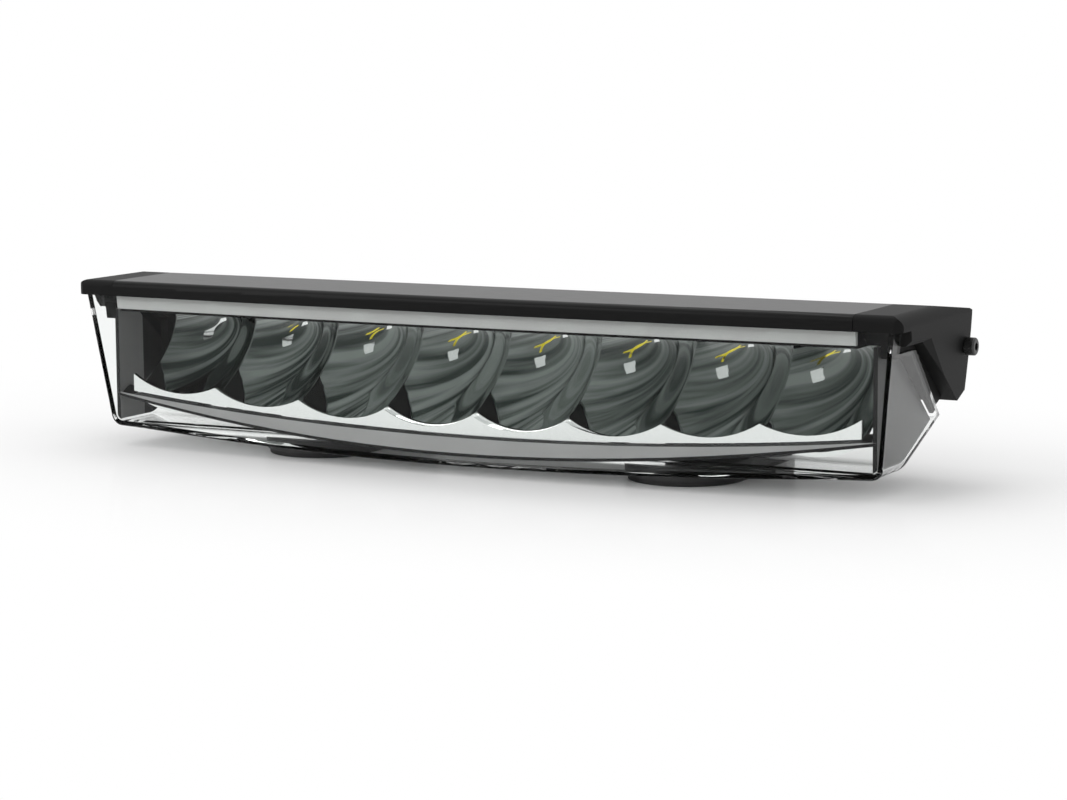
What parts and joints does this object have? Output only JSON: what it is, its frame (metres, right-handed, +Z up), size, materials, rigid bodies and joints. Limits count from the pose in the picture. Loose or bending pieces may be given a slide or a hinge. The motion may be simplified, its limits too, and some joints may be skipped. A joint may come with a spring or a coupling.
{
  "type": "driving light",
  "caption": "Wide, low driving light: finned body with moulded end caps, clear wrap-around lens over a row of half-parabolic mirror cells, and clamped feet.",
  "frame": {"origin": "midway between the bolt holes of the two feet, on the surface that the feet stand on", "axes": "+X along the lamp to the right end as seen from the front, +Y to the rear, +Z up; the lens faces -Y"},
  "size_m": [0.3864, 0.0953, 0.073],
  "materials": {
    "body_black": "satin anodised black",
    "cap_black": "fine-grained matt",
    "lens_clear": "clear polished",
    "seal_grey": "matt",
    "seal_black": "matt",
    "bezel_dark": "polished",
    "mirror_chrome": "vacuum-metallised mirror",
    "board_green": "solder mask",
    "ceramic_white": "matt",
    "emitter_yellow": "smooth",
    "pad_blue": "soft matt",
    "sheet_amber": "smooth film",
    "coil_dark": "sintered",
    "can_silver": "satin",
    "chip_black": "matt",
    "screw_steel": "stainless",
    "foot_black": "powder coat"
  },
  "bodies": {
    "root": {"housing": "body_black", "end_cap_left": "cap_black", "end_cap_right": "cap_black", "cap_gasket_left": "seal_black", "cap_gasket_right": "seal_black", "cap_screws": "screw_steel", "lens": "lens_clear", "lens_seal_top": "seal_grey", "lens_seal_low": "seal_black", "bezel": "bezel_dark", "mirror": "mirror_chrome", "mirror_screws": "screw_steel", "emitter_board": "board_green", "emitter_carriers": "ceramic_white", "emitters": "emitter_yellow", "thermal_pad": "pad_blue", "driver_sheet": "sheet_amber", "driver_board": "board_green", "driver_coils": "coil_dark", "driver_capacitors": "can_silver", "driver_switches": "chip_black", "driver_connector": "ceramic_white", "cable_inlet": "chip_black", "cable_inlet_nut": "chip_black", "vent_plug": "chip_black", "foot_left": "foot_black", "foot_right": "foot_black", "foot_pad_left": "seal_black", "foot_pad_right": "seal_black", "clamp_screws": "screw_steel", "clamp_washers": "screw_steel", "clamp_nuts": "screw_steel"}
  },
  "joints": []
}
